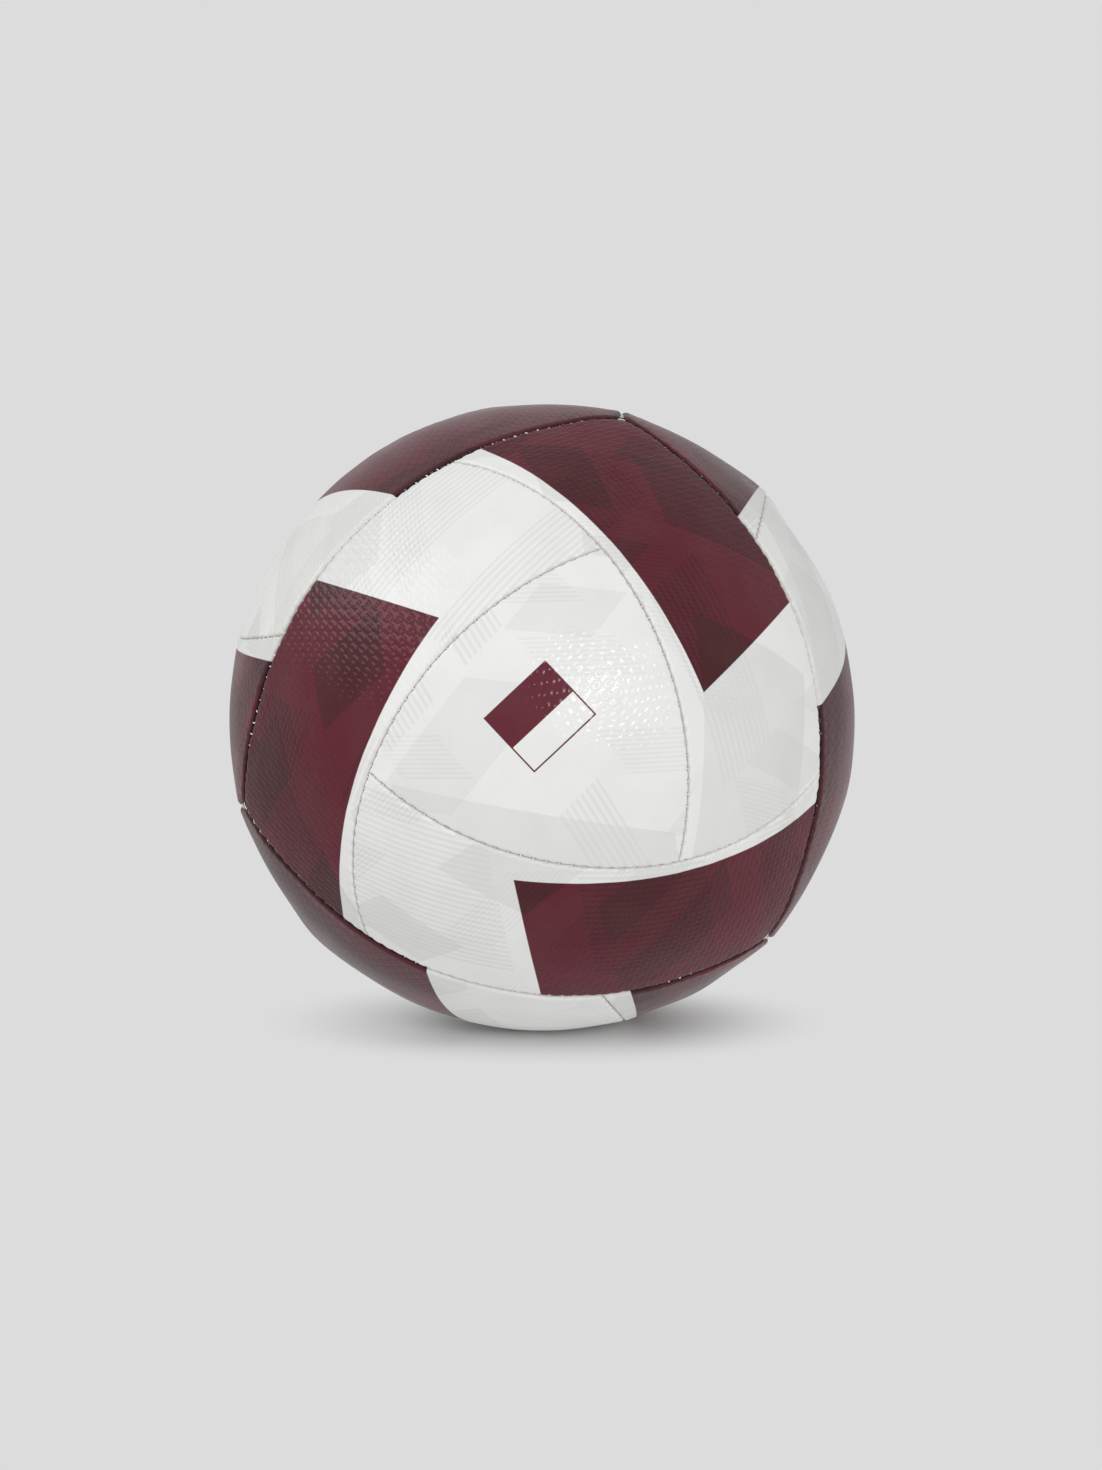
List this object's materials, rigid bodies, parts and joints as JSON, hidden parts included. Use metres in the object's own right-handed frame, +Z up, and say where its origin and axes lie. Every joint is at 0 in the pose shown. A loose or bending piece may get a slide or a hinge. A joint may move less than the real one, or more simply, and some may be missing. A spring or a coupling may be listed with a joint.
{
  "type": "mini soccer ball",
  "caption": "Small inflatable football of curved triangular and blade-shaped panels, sewn with turned-in seams over foam, a rubber bladder and a needle valve.",
  "frame": {"origin": "centre of the ball", "axes": "+Z up as the ball lies in the picture, the front centre panel faces -Y, the valve is on the +X side"},
  "size_m": [0.1447, 0.1458, 0.1444],
  "materials": {
    "cover_white": "embossed satin coating",
    "cover_maroon": "embossed satin coating",
    "foam": "foam on woven cloth",
    "thread": "twisted sewing thread",
    "bladder_rubber": "matt",
    "valve_rubber": "matt",
    "patch_cloth": "woven"
  },
  "bodies": {
    "root": {"centre_panel_front": "cover_white", "blade_panel_front_1": "cover_maroon", "blade_panel_front_2": "cover_maroon", "blade_panel_front_3": "cover_maroon", "centre_panel_upper": "cover_white", "blade_panel_upper_1": "cover_maroon", "blade_panel_upper_2": "cover_maroon", "blade_panel_upper_3": "cover_maroon", "centre_panel_lower": "cover_white", "blade_panel_lower_1": "cover_maroon", "blade_panel_lower_2": "cover_maroon", "blade_panel_lower_3": "cover_maroon", "centre_panel_right": "cover_white", "blade_panel_right_1": "cover_maroon", "blade_panel_right_2": "cover_maroon", "blade_panel_right_3": "cover_maroon", "centre_foam_front": "foam", "blade_foam_front_1": "foam", "blade_foam_front_2": "foam", "blade_foam_front_3": "foam", "centre_foam_upper": "foam", "blade_foam_upper_1": "foam", "blade_foam_upper_2": "foam", "blade_foam_upper_3": "foam", "centre_foam_lower": "foam", "blade_foam_lower_1": "foam", "blade_foam_lower_2": "foam", "blade_foam_lower_3": "foam", "centre_foam_right": "foam", "blade_foam_right_1": "foam", "blade_foam_right_2": "foam", "blade_foam_right_3": "foam", "blade_thread_front_1": "thread", "blade_thread_front_2": "thread", "blade_thread_front_3": "thread", "blade_thread_upper_1": "thread", "blade_thread_upper_2": "thread", "blade_thread_upper_3": "thread", "blade_thread_lower_1": "thread", "blade_thread_lower_2": "thread", "blade_thread_lower_3": "thread", "blade_thread_right_1": "thread", "blade_thread_right_2": "thread", "blade_thread_right_3": "thread", "edge_thread_front_upper": "thread", "edge_thread_front_lower": "thread", "edge_thread_front_right": "thread", "edge_thread_upper_right": "thread", "edge_thread_upper_lower": "thread", "edge_thread_lower_right": "thread", "bladder": "bladder_rubber", "valve_body": "valve_rubber", "valve_core": "valve_rubber", "valve_patch": "patch_cloth"}
  },
  "joints": []
}
